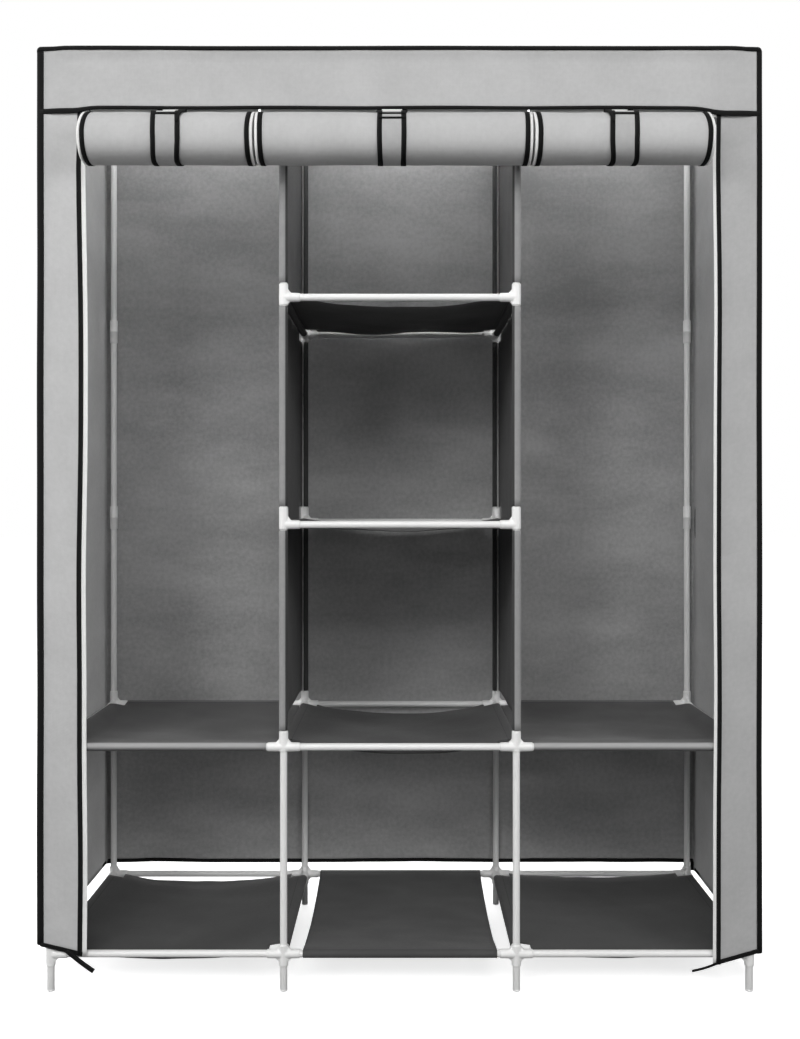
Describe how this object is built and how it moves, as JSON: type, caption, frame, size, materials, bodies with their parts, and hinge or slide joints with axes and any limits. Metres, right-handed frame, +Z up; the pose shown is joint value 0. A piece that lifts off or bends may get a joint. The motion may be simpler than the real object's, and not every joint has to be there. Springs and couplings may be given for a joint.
{
  "type": "portable fabric wardrobe",
  "caption": "Free-standing cloth wardrobe on a push-fit tube frame, with side hanging bays, a shelved centre tower and doors rolled up under a front valance.",
  "frame": {"origin": "centre of the overall box at floor level, the rolled doors included", "axes": "+X to the right seen from the front, +Y to the back, +Z up"},
  "size_m": [1.3, 0.5418, 1.7],
  "materials": {
    "tube": "white powder coat, satin",
    "cover_cloth": "grey non-woven cloth, matt",
    "door_cloth": "grey non-woven cloth, matt",
    "strap_cloth": "grey non-woven cloth with black binding, matt",
    "shelf_cloth": "dark grey non-woven cloth, matt",
    "tower_cloth": "dark grey non-woven cloth, matt",
    "slider": "black enamel"
  },
  "bodies": {
    "wardrobe": {"left_outer_front_post": "tube", "left_inner_front_post": "tube", "right_inner_front_post": "tube", "right_outer_front_post": "tube", "left_outer_back_post": "tube", "left_inner_back_post": "tube", "right_inner_back_post": "tube", "right_outer_back_post": "tube", "bottom_front_rail": "tube", "bottom_back_rail": "tube", "middle_front_rail": "tube", "middle_back_rail": "tube", "lower_tower_front_rail": "tube", "lower_tower_back_rail": "tube", "upper_tower_front_rail": "tube", "upper_tower_back_rail": "tube", "bottom_left_outer_depth_rail": "tube", "bottom_left_inner_depth_rail": "tube", "bottom_right_inner_depth_rail": "tube", "bottom_right_outer_depth_rail": "tube", "middle_left_outer_depth_rail": "tube", "middle_left_inner_depth_rail": "tube", "middle_right_inner_depth_rail": "tube", "middle_right_outer_depth_rail": "tube", "lower_tower_left_depth_rail": "tube", "lower_tower_right_depth_rail": "tube", "upper_tower_left_depth_rail": "tube", "upper_tower_right_depth_rail": "tube", "top_frame": "tube", "left_hanging_rail": "tube", "right_hanging_rail": "tube", "left_tower_wall": "tower_cloth", "right_tower_wall": "tower_cloth", "bottom_left_shelf": "shelf_cloth", "bottom_centre_shelf": "shelf_cloth", "bottom_right_shelf": "shelf_cloth", "middle_left_shelf": "shelf_cloth", "middle_centre_shelf": "shelf_cloth", "middle_right_shelf": "shelf_cloth", "lower_tower_shelf": "shelf_cloth", "upper_tower_shelf": "shelf_cloth", "top_panel": "cover_cloth", "front_valance": "cover_cloth", "back_panel": "cover_cloth", "left_side_panel": "cover_cloth", "right_side_panel": "cover_cloth", "left_front_flap": "cover_cloth", "right_front_flap": "cover_cloth", "left_door_curtain": "door_cloth", "centre_door_curtain": "door_cloth", "right_door_curtain": "door_cloth", "left_door_strap": "strap_cloth", "centre_door_strap": "strap_cloth", "right_door_strap": "strap_cloth"},
    "left_door": {"left_door_roll": "door_cloth"},
    "centre_door": {"centre_door_roll": "door_cloth"},
    "right_door": {"right_door_roll": "door_cloth"},
    "left_slider": {"left_zip_slider": "slider"},
    "right_slider": {"right_zip_slider": "slider"}
  },
  "joints": [
    {"name": "left_door_unroll", "type": "slide", "parent": "wardrobe", "child": "left_door", "axis": [0, 0, -1], "range_m": [0, 1.4], "deforming": ["left_door_curtain", "left_door_strap"]},
    {"name": "centre_door_unroll", "type": "slide", "parent": "wardrobe", "child": "centre_door", "axis": [0, 0, -1], "range_m": [0, 1.4], "deforming": ["centre_door_curtain", "centre_door_strap"]},
    {"name": "right_door_unroll", "type": "slide", "parent": "wardrobe", "child": "right_door", "axis": [0, 0, -1], "range_m": [0, 1.4], "deforming": ["right_door_curtain", "right_door_strap"]},
    {"name": "left_zip_slide", "type": "slide", "parent": "wardrobe", "child": "left_slider", "axis": [0, 0, -1], "range_m": [0, 1.45]},
    {"name": "right_zip_slide", "type": "slide", "parent": "wardrobe", "child": "right_slider", "axis": [0, 0, -1], "range_m": [0, 1.45]}
  ]
}
